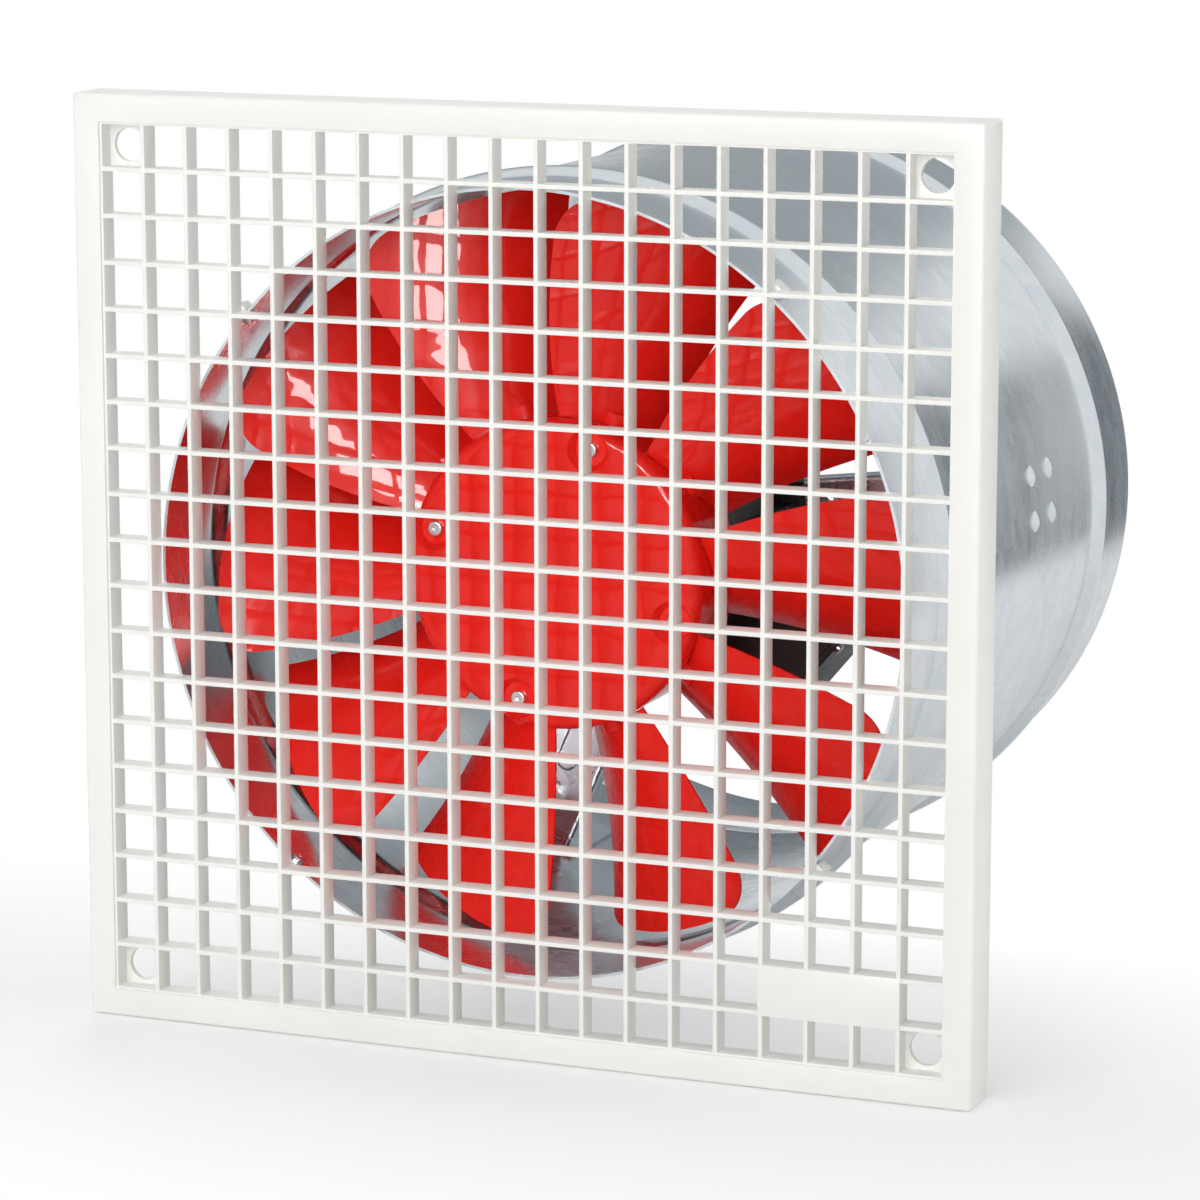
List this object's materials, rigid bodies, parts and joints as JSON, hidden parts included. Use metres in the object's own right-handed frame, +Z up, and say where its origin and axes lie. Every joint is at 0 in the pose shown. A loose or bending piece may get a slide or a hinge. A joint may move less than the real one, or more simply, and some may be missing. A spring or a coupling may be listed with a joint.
{
  "type": "inline duct fan",
  "caption": "Axial duct fan: square cell grille on a beaded round steel tube, with a bladed impeller on a finned motor held by sheet-metal struts.",
  "frame": {"origin": "on the fan axis, in the plane of the back faces of the grille's four corner pads", "axes": "+Y along the fan axis from the room into the duct, +Z up, +X to the right as seen from the room"},
  "size_m": [0.48, 0.413, 0.48],
  "materials": {
    "grille_plastic": "moulded satin",
    "label_blank": "smooth satin",
    "galvanised_sheet": "galvanised",
    "zinc_plated_steel": "bright zinc plate",
    "impeller_red": "moulded gloss",
    "motor_casting": "cast, black enamel",
    "shield_aluminium": "die cast",
    "shaft_steel": "ground",
    "lamination_steel": "stacked laminations",
    "copper_winding": "enamelled copper wire",
    "bearing_steel": "polished",
    "box_plastic": "moulded",
    "gland_plastic": "moulded",
    "seal_rubber": "matt",
    "capacitor_case": "satin",
    "terminal_plastic": "moulded"
  },
  "bodies": {
    "fan_body": {"arm_bolts": "zinc_plated_steel", "arm_washers": "zinc_plated_steel", "bearing_balls": "bearing_steel", "bearing_cages": "bearing_steel", "bearing_outer_races": "bearing_steel", "cable_gland_body": "gland_plastic", "cable_gland_locknut": "gland_plastic", "cable_gland_nut": "gland_plastic", "cable_gland_seal": "seal_rubber", "duct_tube": "galvanised_sheet", "foot_nuts": "zinc_plated_steel", "front_grille": "grille_plastic", "grille_screws": "zinc_plated_steel", "label_plate": "label_blank", "lid_screws": "zinc_plated_steel", "motor_front_shield": "motor_casting", "motor_housing": "motor_casting", "motor_rear_shield": "shield_aluminium", "run_capacitor": "capacitor_case", "shield_screws": "zinc_plated_steel", "stator_core": "lamination_steel", "stator_windings": "copper_winding", "strut_arm_1": "galvanised_sheet", "strut_arm_2": "galvanised_sheet", "strut_arm_3": "galvanised_sheet", "strut_foot_1": "galvanised_sheet", "strut_foot_2": "galvanised_sheet", "strut_foot_3": "galvanised_sheet", "strut_rivets": "galvanised_sheet", "terminal_block": "terminal_plastic", "terminal_box": "box_plastic", "terminal_box_gasket": "seal_rubber", "terminal_box_lid": "box_plastic", "terminal_box_screws": "zinc_plated_steel"},
    "impeller": {"blade_01": "impeller_red", "blade_02": "impeller_red", "blade_03": "impeller_red", "blade_04": "impeller_red", "blade_05": "impeller_red", "blade_06": "impeller_red", "blade_07": "impeller_red", "blade_08": "impeller_red", "blade_09": "impeller_red", "blade_10": "impeller_red", "hub_clamp_screws": "zinc_plated_steel", "hub_cover": "impeller_red", "hub_cover_screws": "zinc_plated_steel", "hub_front_half": "impeller_red", "hub_rear_half": "impeller_red", "rotor_shaft": "shaft_steel", "rotor_core": "lamination_steel", "bearing_inner_races": "bearing_steel", "shaft_key": "shaft_steel", "shaft_end_washer": "zinc_plated_steel", "shaft_end_screw": "zinc_plated_steel"}
  },
  "joints": [
    {"name": "impeller_spin", "type": "hinge", "parent": "fan_body", "child": "impeller", "pos_m": [0, 0.062, 0], "axis": [0, 1, 0], "continuous": true}
  ]
}
